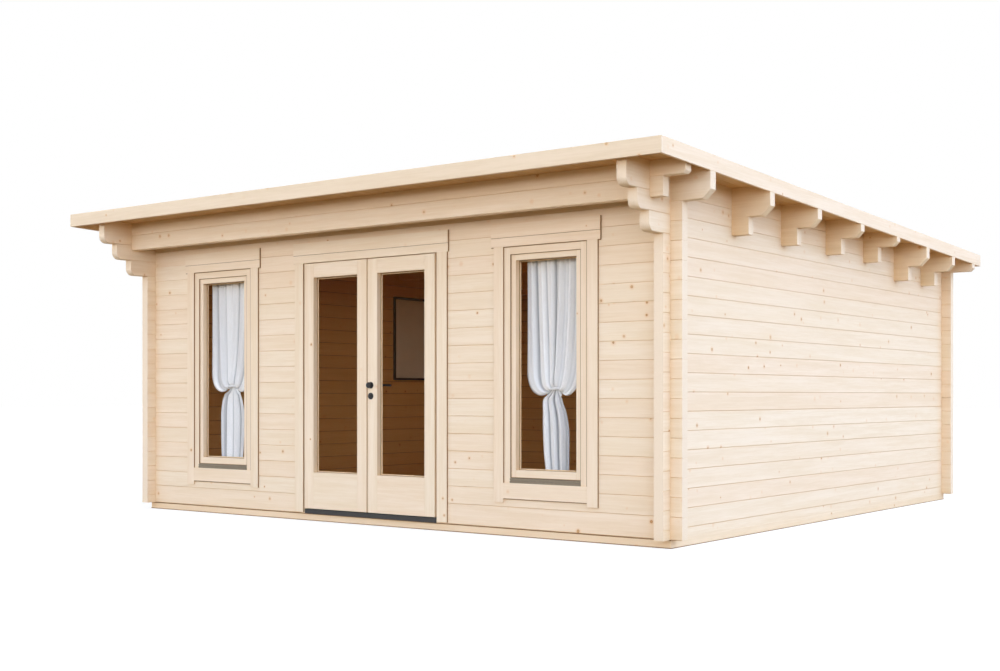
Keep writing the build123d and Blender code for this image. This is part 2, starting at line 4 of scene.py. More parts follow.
import bmesh
import bpy
import numpy as np
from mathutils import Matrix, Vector

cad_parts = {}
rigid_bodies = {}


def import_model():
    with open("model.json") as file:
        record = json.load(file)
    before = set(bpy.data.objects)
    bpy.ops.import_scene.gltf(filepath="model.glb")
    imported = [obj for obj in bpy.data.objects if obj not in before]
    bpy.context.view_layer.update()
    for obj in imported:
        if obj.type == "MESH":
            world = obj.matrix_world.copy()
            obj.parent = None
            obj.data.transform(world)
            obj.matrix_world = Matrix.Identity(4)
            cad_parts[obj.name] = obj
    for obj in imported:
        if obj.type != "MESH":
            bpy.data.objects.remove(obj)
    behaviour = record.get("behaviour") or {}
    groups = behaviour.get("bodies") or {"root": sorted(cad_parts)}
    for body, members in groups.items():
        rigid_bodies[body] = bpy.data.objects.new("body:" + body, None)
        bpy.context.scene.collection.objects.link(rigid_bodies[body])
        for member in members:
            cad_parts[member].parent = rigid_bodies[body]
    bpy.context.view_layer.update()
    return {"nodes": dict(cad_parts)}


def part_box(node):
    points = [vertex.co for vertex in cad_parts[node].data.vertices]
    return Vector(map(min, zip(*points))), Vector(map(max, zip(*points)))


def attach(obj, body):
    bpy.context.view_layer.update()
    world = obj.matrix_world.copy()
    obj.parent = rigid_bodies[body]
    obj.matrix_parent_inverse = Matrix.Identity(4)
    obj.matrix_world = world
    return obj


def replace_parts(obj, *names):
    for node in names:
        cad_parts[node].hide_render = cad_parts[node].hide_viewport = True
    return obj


for old in list(bpy.data.objects):
    bpy.data.objects.remove(old)

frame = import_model()
nodes = frame["nodes"]
scene = bpy.context.scene
scene.view_settings.view_transform = "Standard"

# Sizes in metres, and other settings, that the scene adds to the frame, grouped by piece

# Timber
edge_ease = 0.0018            # eased edges of each timber
ease_angle = math.radians(35)
ease_segments = 2
weld_reach = 0.00002
same_place = 0.001            # vertices that lie nearer than this are at one place
floor_board_seed = 101        # seeds of the timbers that the scene adds
roof_board_seed = 102
bead_seed = 111
honey_margin = 0.008            # the room's honey tone reaches this far past the floor, into the seams of the logs
honey_height = 3.0              # above all timbers of the room
painted_shade_reach = 0.2            # surfaces that lie nearer than this to others take a warmer, darker painted shade

# Floor boards and roof boards
floor_board_count = 56
floor_board_groove = 0.003
floor_board_clearance = 0.0006
roof_board_count = 60
roof_board_groove = 0.004
roof_board_clearance = 0.0005

# Roofing felt
roll_count = 6
roll_lap = 0.09
roll_thickness = 0.0028
roll_climb = 0.02             # run in which a roll rises on to the next one
roll_columns = 90
roll_ripples = ((0.0005, 5.1, 2.3), (0.0003, 13.7, 1.0))   # height, turn a metre, shift from roll to roll

# Glazing
gasket_width = 0.003
gasket_lip = 0.002
gasket_depth = 0.003
bead_width = 0.010
bead_slope_width = 0.005
bead_edge = 0.003             # square edge of a bead beside the glass
bead_depth = 0.0078

# Dark strips that paint shade lines
strip_width = 0.002           # beside the edges of trims and headers
strip_set_back = 0.005        # front of those strips behind the front of the trims
strip_seat = 0.0005           # strips reach this far into what they lie against
seam_strip_height = 0.003     # along the seam of a header
seam_strip_depth = 0.002
ear_strip_height = 0.004      # under the ears of a header
inner_strip_height = 0.005    # under a header's middle and under a sill board
inner_strip_depth = 0.006
rebate_strip_width = 0.003    # where trims step back to the frame, and the frame to the sash
rebate_strip_set_back = 0.0015
sash_strip_reach = 0.004      # into the rebate, past the sash's front
header_top_margin = 0.01      # the seam of a header lies at least this far below its top
# dark strip of painted shade in the gap between the door leaves
meeting_shade_strip_width = 0.006
meeting_shade_strip_front = 0.012    # front and back of the strip, behind the front of the leaf
meeting_shade_strip_back = 0.042
# dark strips of painted contact shadow and shadow gap at the bearers
base_shade_strip_depth = 0.003
base_shade_strip_height = 0.006
side_base_shade_strip_depth = 0.002
side_base_shade_strip_height = 0.005

# Drip profiles
drip_bevel = 0.003
drip_groove_depth = 0.006
drip_face_step = 0.002        # upper face behind the lower one
drip_lip_depth = 0.010
drip_slope_depth = 0.014
drip_groove_shares = (0.36, 0.40, 0.50, 0.54)   # of the bar's height
drip_lip_shares = (0.86, 0.88)

# Curtains: places across are counted from the window's centre, and heights from the ground
rod_radius = 0.008
rod_bracket_half = 0.009
cloth_rows = 190
cloth_columns = 130
body_folds = 5.6
tail_folds = 3.0
fold_blend_rows = 12          # rows of cloth in which the folds of the body give way to those of the tail
fold_full_depth = 0.02
fold_wave_height = 1.35       # height of the uneven wave that shapes the folds
sway_share = 0.10             # how far folds lean over sideways
edge_curve = 1.4              # power by which the cloth falls from its middle to its edges
body_crease = (0.66, 1.5, 0.16)   # depth and power of the creases' shade, and depth of the broad shade
tail_crease = (0.95, 1.2, 0.25)
# painted light of the cloth's folds: at most, and all over the tie
most_painted_fold_light = 0.95
tie_painted_fold_light = 0.75
heading_rows = (              # height over the rod, depth, fold depth
    (-0.022, 0.0110, 0.0005), (-0.004, 0.0105, 0.0005), (0.0105, 0.0, 0.0005), (-0.004, -0.0105, 0.0008),
    (-0.05, -0.006, 0.010))
hanging_rows = (              # height, depth, fold depth, pull to the middle
    (1.86, 0.0, 0.019, 0.02), (1.60, 0.001, 0.022, 0.12), (1.38, -0.002, 0.022, 0.28))
bagging_rows = (              # share of the width, height over the tie at edges and middle, then the same
    (1.0, 0.17, 0.17, -0.008, 0.019, 0.45), (0.96, 0.07, 0.10, -0.016, 0.016, 0.55),
    (0.80, -0.01, 0.055, -0.022, 0.013, 0.5), (0.57, -0.05, 0.028, -0.020, 0.010, 0.4),
    (0.38, -0.050, 0.014, -0.010, 0.008, 0.3), (0.24, -0.026, 0.006, 0.0, 0.007, 0.2))
waist_half_width = 0.044
waist_drop = 0.004            # middle of the tie below the place where the cloth is gathered
waist_depth = 0.003
waist_fold = 0.007
waist_pull = 0.1
tail_depth = 0.002
tail_fold = 0.010             # at the top of the tail
tail_fold_growth = 0.004      # from row to row
tail_fold_limit = 0.019
tie_rings = 40
tie_sides = 10
tie_half_width = 0.053
tie_half_depth = 0.024
tie_thickness = 0.004
tie_wrinkle = 0.0015
tie_half_height = 0.010
tie_tilt = 0.003

# Light: strengths change by their lean towards +X and +Y
low_glow_colour = (0.98, 0.93, 0.84)
low_glow_strength = 3.9
low_glow_fade = 7.0           # how fast the glow fades with height
low_glow_lean = (-0.34, -0.38)
high_light_colour = (0.98, 1.21, 1.64)
high_light_strength = 0.88
high_light_lean = (1.0, -0.08)
high_light_least = 0.15
lamp_size = 4.0
lamp_height = 2.1
lamp_watts = 8.0
lamp_colour = (1.0, 0.82, 0.55)

# Floor and camera
stage_reach = 90.0
stage_bounce = (0.25, 0.15, 0.06)   # colour of the light that the floor throws back
stage_shade = (0.27, 0.27, 0.26)    # what of the floor's white a shadow can take away
stage_glow = 0.80
camera_place = (6.894, -9.871, 0.983)
camera_turn = math.radians(37.056)
camera_clip = 200.0
sensor_width_mm = 36.0
lens_mm = 48.13
camera_shift_share = 0.0603   # of the picture's width


# Node trees

class Tree:
    """Short calls for building one shader node tree."""

    def __init__(self, owner):
        owner.use_nodes = True
        self.tree = owner.node_tree
        self.material = owner
        self.shader = self.tree.nodes.get("Principled BSDF")

    def add(self, kind, **settings):
        node = self.tree.nodes.new(kind)
        for key, value in settings.items():
            setattr(node, key, value)
        return node

    def join(self, value, socket):
        if hasattr(value, "is_output"):
            self.tree.links.new(value, socket)
        else:
            socket.default_value = value

    def math(self, operation, *values):
        node = self.add("ShaderNodeMath", operation=operation)
        for value, socket in zip(values, node.inputs):
            self.join(value, socket)
        return node.outputs[0]

    def step(self, value, low, high, out_low=0.0, out_high=1.0):
        """Smooth ramp of a value from low to high."""
        node = self.add("ShaderNodeMapRange", interpolation_type="SMOOTHSTEP")
        for v, i in zip((value, low, high, out_low, out_high), range(5)):
            self.join(v, node.inputs[i])
        return node.outputs[0]

    def mix(self, share, a, b, blend="MIX"):
        node = self.add("ShaderNodeMix", data_type="RGBA", blend_type=blend)
        self.join(share, node.inputs[0])
        for value, socket in ((a, node.inputs[6]), (b, node.inputs[7])):
            self.join((*value, 1.0) if isinstance(value, tuple) and len(value) == 3 else value, socket)
        return node.outputs[2]

    def vector(self, x, y, z):
        node = self.add("ShaderNodeCombineXYZ")
        for value, socket in zip((x, y, z), node.inputs):
            self.join(value, socket)
        return node.outputs[0]

    def noise(self, vector, scale, detail=3.0, roughness=0.55):
        node = self.add("ShaderNodeTexNoise")
        self.join(vector, node.inputs["Vector"])
        node.inputs["Scale"].default_value = scale
        node.inputs["Detail"].default_value = detail
        node.inputs["Roughness"].default_value = roughness
        return node.outputs["Fac"]

    def cells(self, vector, scale):
        """Distance to the nearest cell centre, and three chances that are fixed for each cell."""
        node = self.add("ShaderNodeTexVoronoi")
        self.join(vector, node.inputs["Vector"])
        node.inputs["Scale"].default_value = scale
        chance = self.add("ShaderNodeSeparateColor")
        self.join(node.outputs["Color"], chance.inputs[0])
        return node.outputs["Distance"], chance.outputs[0], chance.outputs[1], chance.outputs[2]

    def coordinates(self, output):
        """One output of the texture coordinates, as three values."""
        node = self.add("ShaderNodeSeparateXYZ")
        self.join(self.add("ShaderNodeTexCoord").outputs[output], node.inputs[0])
        return node.outputs[0], node.outputs[1], node.outputs[2]

    def seen(self):
        """1 where the camera, a reflection or a view through glass looks, and 0 where light is gathered."""
        ray = self.add("ShaderNodeLightPath")
        direct = self.math("MAXIMUM", ray.outputs["Is Camera Ray"], ray.outputs["Is Glossy Ray"])
        return self.math("MAXIMUM", direct, ray.outputs["Is Transmission Ray"])

    def choose(self, share, first, second):
        node = self.add("ShaderNodeMixShader")
        for value, socket in zip((share, first, second), node.inputs):
            self.join(value, socket)
        return node.outputs[0]

    def bump(self, height, strength, distance):
        node = self.add("ShaderNodeBump")
        node.inputs["Strength"].default_value = strength
        node.inputs["Distance"].default_value = distance
        self.join(height, node.inputs["Height"])
        self.join(node.outputs[0], self.shader.inputs["Normal"])

    def colour(self, value):
        self.join(value, self.shader.inputs["Base Color"])

    def rough(self, value):
        self.join(value, self.shader.inputs["Roughness"])

    def specular(self, level):
        self.shader.inputs["Specular IOR Level"].default_value = level


def material_tree(name):
    return Tree(bpy.data.materials.new(name))


# Spruce

grain_axes = {"X": (0, 2, 1), "Y": (1, 2, 0), "Z": (2, 0, 1)}   # along the grain, up and into the timber
piece_shifts = (61.0, 17.0, 29.0)   # how far each timber's figure is moved along those axes


def add_knots(t, wood, at, share):
    """Knots in some of the cells of the wood, each with a halo. Returns the colour and the knots' cores."""
    distance, size_chance, knot_chance, tone_chance = t.cells(at, 8.6)
    size = t.math("MULTIPLY_ADD", size_chance, 0.070, 0.045)
    wobble = t.math("MULTIPLY_ADD", t.noise(at, 90.0), 0.5, 0.75)
    away = t.math("MULTIPLY", t.math("DIVIDE", distance, size), wobble)
    there = t.math("LESS_THAN", knot_chance, share)
    halo = t.math("MULTIPLY", t.step(away, 2.3, 0.9), there)
    wood = t.mix(t.math("MULTIPLY", halo, 0.40), wood, (0.78, 0.47, 0.21))
    core = t.math("MULTIPLY", t.step(away, 1.0, 0.72), there)
    heart = t.mix(t.step(away, 0.75, 0.3), (0.42, 0.19, 0.06), (0.60, 0.31, 0.11))
    depth = t.math("MULTIPLY", core, t.math("MULTIPLY_ADD", tone_chance, 0.5, 0.4))
    return t.mix(depth, wood, heart), core


def end_grain(t, up, into, tone, rosy, bands):
    """Colour of a cut end: growth rings round a pith that lies beside the timber."""
    off_up = t.math("SUBTRACT", up, t.math("MULTIPLY_ADD", tone, 0.3, 0.9))
    off_in = t.math("ADD", into, t.math("MULTIPLY_ADD", rosy, 0.3, 0.05))
    squares = t.math("ADD", t.math("MULTIPLY", off_up, off_up), t.math("MULTIPLY", off_in, off_in))
    out = t.math("SQRT", squares)
    ring = t.math("SINE", t.math("MULTIPLY", t.math("MULTIPLY_ADD", bands, 0.02, out), 1500.0))
    return t.mix(t.step(ring, -0.5, 1.0), (0.87, 0.725, 0.555), (0.78, 0.60, 0.41))


def honey_tone_inside(t, wood, room, axes, normals, into):
    """Darker honey tone on the faces inside the room, with painted shade on the downward bevels of the log
    seams.
    """
    inside = 1.0
    for axis, low, high in zip(axes, *room):
        inside = t.math("MULTIPLY", inside, t.math("GREATER_THAN", axis, low))
        inside = t.math("MULTIPLY", inside, t.math("LESS_THAN", axis, high))
    # Painted shade: the bevels that face down, under each log seam, are darker
    aslant = t.math("COMPARE", t.math("ABSOLUTE", normals[into]), 0.7, 0.25)
    seam = t.math("MULTIPLY", aslant, t.math("LESS_THAN", normals[2], -0.4))
    honey_and_seam_shade = t.mix(seam, (0.93, 0.66, 0.29), (0.50, 0.30, 0.11))
    return t.mix(inside, wood, t.mix(1.0, wood, honey_and_seam_shade, "MULTIPLY"))


def spruce(name, along, pale=(0.88, 0.735, 0.56), deep=(0.81, 0.645, 0.445), knots=0.6, room=None):
    """Planed spruce with its grain along one axis, small knots, rings on the end grain, and painted shade
    in its corners and seams.

    Where room is given, as two corners, the faces inside it take a darker honey tone, with painted shade on
    the downward bevels of their log seams."""
    t = material_tree(name)
    axes = t.coordinates("Object")
    normals = t.coordinates("Normal")
    order = grain_axes[along]
    piece = t.add("ShaderNodeAttribute", attribute_name="piece").outputs["Fac"]
    run, up, into = [t.math("MULTIPLY_ADD", piece, shift, axes[i]) for shift, i in zip(piece_shifts, order)]
    # Growth figure: broad bands, then streaks, then fine lines, all drawn out along the grain
    drawn = t.vector(t.math("MULTIPLY", run, 0.05), up, into)
    bands = t.noise(drawn, 22.0, 2.0)
    streaks = t.noise(drawn, 95.0, 3.0, 0.6)
    lines = t.noise(drawn, 420.0, 2.0, 0.6)
    figure = t.math("MULTIPLY_ADD", bands, 0.5, t.math("MULTIPLY", streaks, 0.35))
    figure = t.math("MULTIPLY_ADD", lines, 0.15, figure)
    wood = t.mix(t.step(figure, 0.34, 0.66), pale, deep)
    # Each timber has its own tone
    tone = t.math("FRACT", t.math("MULTIPLY", piece, 7.31))
    wood = t.mix(t.math("MULTIPLY", tone, 0.6), wood, t.mix(0.5, wood, deep))
    rosy = t.math("FRACT", t.math("MULTIPLY", piece, 13.7))
    wood = t.mix(t.math("MULTIPLY", rosy, 0.5), wood, t.mix(1.0, wood, (0.99, 0.92, 0.89), "MULTIPLY"))
    wood, core = add_knots(t, wood, t.vector(run, up, into), knots)
    cut_end = t.step(t.math("ABSOLUTE", normals[order[0]]), 0.72, 0.9)
    wood = t.mix(cut_end, wood, end_grain(t, axes[order[1]], axes[order[2]], tone, rosy, bands))
    if room:
        wood = honey_tone_inside(t, wood, room, axes, normals, order[2])
    # Painted shade: corners, seams and the undersides of the eaves, found by ambient occlusion, take a
    # warmer, darker tone
    corner = t.add("ShaderNodeAmbientOcclusion", samples=4)
    corner.inputs["Distance"].default_value = painted_shade_reach
    painted_corner_shade = t.step(corner.outputs["AO"], 0.9, 0.2)
    t.colour(t.mix(painted_corner_shade, wood, t.mix(1.0, wood, (0.97, 0.88, 0.72), "MULTIPLY")))
    t.rough(t.math("MULTIPLY_ADD", streaks, 0.22, 0.46))
    t.bump(t.math("MULTIPLY_ADD", core, -0.4, lines), 0.25, 0.0006)
    t.specular(0.28)
    return t.material


# Other materials

def felt_material():
    """Dark mineral roofing felt: slate granules with paler flecks."""
    t = material_tree("mineral_felt")
    at = t.vector(*t.coordinates("Object"))
    distance, shade_chance, fleck_chance, gloss_chance = t.cells(at, 420.0)
    base = t.mix(shade_chance, (0.040, 0.036, 0.031), (0.115, 0.105, 0.092))
    fleck = t.math("MULTIPLY", t.math("GREATER_THAN", fleck_chance, 0.93), 0.6)
    base = t.mix(fleck, base, (0.28, 0.255, 0.22))
    patches = t.noise(at, 1.6, 4.0)
    t.colour(t.mix(t.step(patches, 0.35, 0.7, 0.0, 0.4), base, (0.135, 0.122, 0.104)))
    t.rough(t.math("MULTIPLY_ADD", gloss_chance, 0.12, 0.84))
    t.bump(distance, 0.5, 0.001)
    return t.material


def metal_material(name, colour, worn, roughness, metallic):
    """Coated or plated metal with fine unevenness and slightly rubbed patches."""
    t = material_tree(name)
    at = t.vector(*t.coordinates("Object"))
    rubbed = t.noise(at, 55.0, 5.0, 0.65)
    t.colour(t.mix(t.step(rubbed, 0.52, 0.75), colour, worn))
    t.rough(t.math("MULTIPLY_ADD", rubbed, 0.22, roughness))
    t.bump(t.noise(at, 900.0, 2.0), 0.12, 0.0002)
    t.shader.inputs["Metallic"].default_value = metallic
    return t.material


def glass_material():
    """Clear pane: mostly see-through, with a faint sheen and a trace of dust."""
    t = material_tree("clear_pane")
    dust = t.noise(t.vector(*t.coordinates("Object")), 3.0, 5.0, 0.6)
    t.colour((0.12, 0.075, 0.03, 1.0))
    t.rough(t.math("MULTIPLY_ADD", dust, 0.06, 0.02))
    t.join(t.math("MULTIPLY_ADD", dust, 0.03, 0.012), t.shader.inputs["Alpha"])
    t.specular(0.5)
    return t.material


def cloth_material():
    """Sheer white cloth: fine weave, and painted shade that darkens the creases of the folds."""
    t = material_tree("sheer_cloth")
    x, y, z = t.coordinates("Object")
    warp = t.math("SINE", t.math("MULTIPLY", x, 5200.0))
    weft = t.math("SINE", t.math("MULTIPLY", z, 5200.0))
    weave = t.math("MULTIPLY", warp, weft)
    slubs = t.noise(t.vector(t.math("MULTIPLY", x, 6.0), y, t.math("MULTIPLY", z, 0.6)), 60.0, 3.0)
    painted_fold_light = t.add("ShaderNodeAttribute", attribute_name="painted_fold_light").outputs["Fac"]
    white = t.mix(painted_fold_light, (0.31, 0.31, 0.315), (0.96, 0.945, 0.91))
    white = t.mix(t.step(slubs, 0.3, 0.75, 0.0, 0.25), white, (0.74, 0.73, 0.70))
    t.colour(t.mix(t.step(weave, -1.0, 1.0, 0.0, 0.10), white, (0.66, 0.65, 0.62)))
    t.rough(t.math("MULTIPLY_ADD", slubs, 0.1, 0.82))
    t.bump(t.math("ADD", weave, slubs), 0.15, 0.0004)
    t.specular(0.15)
    t.shader.inputs["Sheen Weight"].default_value = 0.25
    t.shader.inputs["Sheen Roughness"].default_value = 0.5
    return t.material


def dark_strip_material():
    """Dark brown of the glass gaskets, and of the strips that paint shade lines and shadow gaps."""
    t = material_tree("brown_gasket_and_shade_strip")
    fine = t.noise(t.vector(*t.coordinates("Object")), 260.0, 3.0)
    t.colour(t.mix(fine, (0.22, 0.12, 0.055), (0.34, 0.20, 0.10)))
    t.rough(t.math("MULTIPLY_ADD", fine, 0.2, 0.7))
    t.bump(fine, 0.2, 0.0003)
    t.specular(0.08)
    return t.material


def paper_material():
    """Plain pale board with a soft tooth."""
    t = material_tree("plain_board")
    at = t.vector(*t.coordinates("Object"))
    clouds = t.noise(at, 5.0, 5.0)
    t.colour(t.mix(clouds, (0.70, 0.63, 0.54), (0.84, 0.77, 0.67)))
    t.rough(t.math("MULTIPLY_ADD", clouds, 0.1, 0.8))
    t.bump(t.noise(at, 700.0, 2.0), 0.2, 0.0003)
    return t.material


def stained_material():
    """Dark stained wood of the picture frame."""
    t = material_tree("dark_stain")
    x, y, z = t.coordinates("Object")
    grain = t.noise(t.vector(x, t.math("MULTIPLY", y, 2.0), t.math("MULTIPLY", z, 0.3)), 130.0, 4.0)
    t.colour(t.mix(grain, (0.022, 0.014, 0.01), (0.06, 0.038, 0.026)))
    t.rough(t.math("MULTIPLY_ADD", grain, 0.25, 0.35))
    t.bump(grain, 0.2, 0.0004)
    return t.material


floor_low, floor_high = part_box("floor")
room = ((floor_low.x - honey_margin, floor_low.y - honey_margin, 0.0),
        (floor_high.x + honey_margin, floor_high.y + honey_margin, honey_height))
wood = {axis: spruce(f"spruce_along_{axis.lower()}", axis, room=room) for axis in "XY"}
# Painted shade: a darker copy of the spruce for the front fascia
shaded_fascia_wood = spruce("fascia_spruce_painted_shade_along_x", "X", (0.82, 0.665, 0.485), (0.74, 0.58, 0.395))
# Painted shade: a warmer, darker copy of the spruce for the purlins and their brackets under the eaves
shaded_eaves_wood = spruce("eaves_spruce_painted_shade_along_x", "X", (0.85, 0.68, 0.465), (0.78, 0.595, 0.37), room=room)
clear_wood = {axis: spruce(f"clear_spruce_along_{axis.lower()}", axis, knots=0.16) for axis in "XZ"}
# Painted shade: a much warmer, darker copy of the spruce for the roof boards seen from below the eaves
shaded_roof_wood = spruce("roof_spruce_painted_shade_along_y", "Y", (0.70, 0.45, 0.21), (0.60, 0.37, 0.155))
floor_wood = spruce("floor_spruce_along_x", "X", (0.80, 0.53, 0.27), (0.70, 0.44, 0.20))
timbers = {*wood.values(), *clear_wood.values(), shaded_fascia_wood, shaded_eaves_wood, shaded_roof_wood, floor_wood}
felt = felt_material()
black = metal_material("black_satin", (0.012, 0.012, 0.013), (0.03, 0.03, 0.03), 0.32, 0.0)
grey = metal_material("grey_coated", (0.035, 0.033, 0.030), (0.055, 0.052, 0.048), 0.55, 0.0)
taupe = metal_material("taupe_coated", (0.24, 0.19, 0.125), (0.31, 0.25, 0.175), 0.6, 0.0)
plated = metal_material("plated_steel", (0.55, 0.52, 0.47), (0.66, 0.64, 0.60), 0.28, 0.9)
white_metal = metal_material("white_coated", (0.72, 0.71, 0.69), (0.6, 0.59, 0.57), 0.35, 0.0)
pane = glass_material()
cloth = cloth_material()
gasket_and_shade_strip = dark_strip_material()
paper = paper_material()
stained = stained_material()


# Materials of the CAD nodes, by name, and for the rest by the first of these words that a name holds

named_materials = {
    "door_furniture": black, "door_threshold": grey, "window_drip_bars": taupe, "curtain_rods": white_metal,
    "picture_frame": stained, "picture_board": paper, "front_fascia": shaded_fascia_wood, "purlins": shaded_eaves_wood,
    "purlin_brackets": shaded_eaves_wood, "side_fascias": wood["Y"], "side_bearers": wood["Y"],
    "floor_joists": wood["Y"], "door_head": clear_wood["X"]}
worded_materials = (
    (("glass", "panes"), pane), (("hinges",), plated), (("left_wall", "right_wall"), wood["Y"]),
    (("stiles", "jambs", "side_trims"), clear_wood["Z"]), (("rails", "header", "sill"), clear_wood["X"]))


def material_of(name):
    """Material of a CAD node: plain spruce along X where no name or word is given."""
    if name in named_materials:
        return named_materials[name]
    for words, material in worded_materials:
        if any(word in name for word in words):
            return material
    return wood["X"]


def piece_numbers():
    """Geometry nodes that give every separate solid of a mesh its own number from 0 to 1."""
    group = bpy.data.node_groups.new("piece_numbers", "GeometryNodeTree")
    group.interface.new_socket("Geometry", in_out="INPUT", socket_type="NodeSocketGeometry")
    group.interface.new_socket("Seed", in_out="INPUT", socket_type="NodeSocketInt")
    group.interface.new_socket("Geometry", in_out="OUTPUT", socket_type="NodeSocketGeometry")
    start = group.nodes.new("NodeGroupInput")
    end = group.nodes.new("NodeGroupOutput")
    island = group.nodes.new("GeometryNodeInputMeshIsland")
    chance = group.nodes.new("FunctionNodeRandomValue")
    store = group.nodes.new("GeometryNodeStoreNamedAttribute")
    store.data_type = "FLOAT"
    store.domain = "POINT"
    store.inputs["Name"].default_value = "piece"
    group.links.new(island.outputs["Island Index"], chance.inputs["ID"])
    group.links.new(start.outputs["Seed"], chance.inputs["Seed"])
    value = [s for s in chance.outputs if s.type == "VALUE" and s.enabled][0]
    group.links.new(start.outputs["Geometry"], store.inputs["Geometry"])
    group.links.new(value, [s for s in store.inputs if s.name == "Value" and s.enabled][0])
    group.links.new(store.outputs[0], end.inputs[0])
    return group


numbers = piece_numbers()


def finish_timber(obj, seed, bevel):
    """Eased edges and a number for each timber."""
    weld = obj.modifiers.new("weld", "WELD")
    weld.merge_threshold = weld_reach
    if bevel:
        ease = obj.modifiers.new("eased_edges", "BEVEL")
        ease.width = bevel
        ease.segments = ease_segments
        ease.limit_method = "ANGLE"
        ease.angle_limit = ease_angle
    count = obj.modifiers.new("piece_numbers", "NODES")
    count.node_group = numbers
    count[numbers.interface.items_tree["Seed"].identifier] = seed


for seed, (name, obj) in enumerate(sorted(nodes.items())):
    material = material_of(name)
    obj.data.materials.clear()
    obj.data.materials.append(material)
    if material in timbers:
        finish_timber(obj, seed, edge_ease)


# Mesh helpers

def new_piece(name, mesh, material, body):
    obj = bpy.data.objects.new(name, mesh)
    scene.collection.objects.link(obj)
    obj.data.materials.append(material)
    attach(obj, body)
    return obj


def from_bmesh(bm, name, material, body):
    bmesh.ops.recalc_face_normals(bm, faces=bm.faces)
    mesh = bpy.data.meshes.new(name)
    bm.to_mesh(mesh)
    bm.free()
    return new_piece(name, mesh, material, body)


def smooth(mesh):
    mesh.polygons.foreach_set("use_smooth", [True] * len(mesh.polygons))


def skin(bm, a, b):
    """Faces between two closed rings of as many vertices."""
    count = len(a)
    for i in range(count):
        bm.faces.new((a[i], a[(i + 1) % count], b[(i + 1) % count], b[i]))


def add_bar(bm, outline, start, end):
    """Closed bar: an outline of 3-D points, given as offsets, drawn from start to end."""
    first, last = [[bm.verts.new(Vector(place) + Vector(p)) for p in outline] for place in (start, end)]
    skin(bm, first, last)
    bm.faces.new(first[::-1])
    bm.faces.new(last)


def add_frame(bm, low, high, outline):
    """Mitred strip round an upright rectangle that faces the front.

    The outline holds (inward, y) points, and low and high are the rectangle's (x, z) corners."""
    corners = [(low[0], low[1], 1, 1), (high[0], low[1], -1, 1),
               (high[0], high[1], -1, -1), (low[0], high[1], 1, -1)]
    rings = []
    for x, z, sx, sz in corners:
        rings.append([bm.verts.new((x + sx * inward, y, z + sz * inward)) for inward, y in outline])
    for a, b in zip(rings, rings[1:] + rings[:1]):
        skin(bm, a, b)


def add_strip(bm, x, y, z):
    """Straight strip between two places on each axis."""
    section = [(0, y[0], z[0]), (0, y[1], z[0]), (0, y[1], z[1]), (0, y[0], z[1])]
    add_bar(bm, section, (x[0], 0, 0), (x[1], 0, 0))


def places(node, right):
    """Distinct X places of a node's vertices in one half of the front, left to right."""
    return sorted({round(v.co.x, 5) for v in nodes[node].data.vertices if (v.co.x > 0) == right})


def seam_height(node):
    """Level of the seam between the two boards of a header."""
    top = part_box(node)[1].z
    return max(v.co.z for v in nodes[node].data.vertices if v.co.z < top - header_top_margin)


# Floor boards, laid across the joists

def floor_boards():
    low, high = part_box("floor")
    top, bottom, groove = high.z, low.z, floor_board_groove
    width = (high.y - low.y) / floor_board_count
    boards = bmesh.new()
    for i in range(floor_board_count):
        y0 = low.y + i * width + floor_board_clearance
        y1 = low.y + (i + 1) * width - floor_board_clearance
        section = [(0, y0, bottom), (0, y1, bottom), (0, y1, top - groove), (0, y1 - groove, top),
                   (0, y0 + groove, top), (0, y0, top - groove)]
        add_bar(boards, section, (low.x, 0, 0), (high.x, 0, 0))
    piece = from_bmesh(boards, "floor_boards", floor_wood, "root")
    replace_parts(piece, "floor")
    finish_timber(piece, floor_board_seed, 0)


floor_boards()


# Roof boards, front to back, with a groove on the underside of each joint

deck_low, deck_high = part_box("roof_deck")
deck = nodes["roof_deck"].data
deck_front = min(v.co.z for v in deck.vertices if abs(v.co.y - deck_low.y) < same_place)
deck_back = min(v.co.z for v in deck.vertices if abs(v.co.y - deck_high.y) < same_place)
deck_height = deck_high.z - deck_front


def roof_boards():
    low, high, groove = deck_low, deck_high, roof_board_groove
    width = (high.x - low.x) / roof_board_count
    boards = bmesh.new()
    for i in range(roof_board_count):
        x0 = low.x + i * width + roof_board_clearance
        x1 = low.x + (i + 1) * width - roof_board_clearance
        section = [(x0 + groove, 0, 0), (x1 - groove, 0, 0), (x1, 0, groove), (x1, 0, deck_height),
                   (x0, 0, deck_height), (x0, 0, groove)]
        add_bar(boards, section, (0, low.y, deck_front), (0, high.y, deck_back))
    piece = from_bmesh(boards, "roof_boards", shaded_roof_wood, "root")
    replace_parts(piece, "roof_deck")
    finish_timber(piece, roof_board_seed, 0)


roof_boards()


# Roofing felt in rolls from side to side, each lapped over the one below it

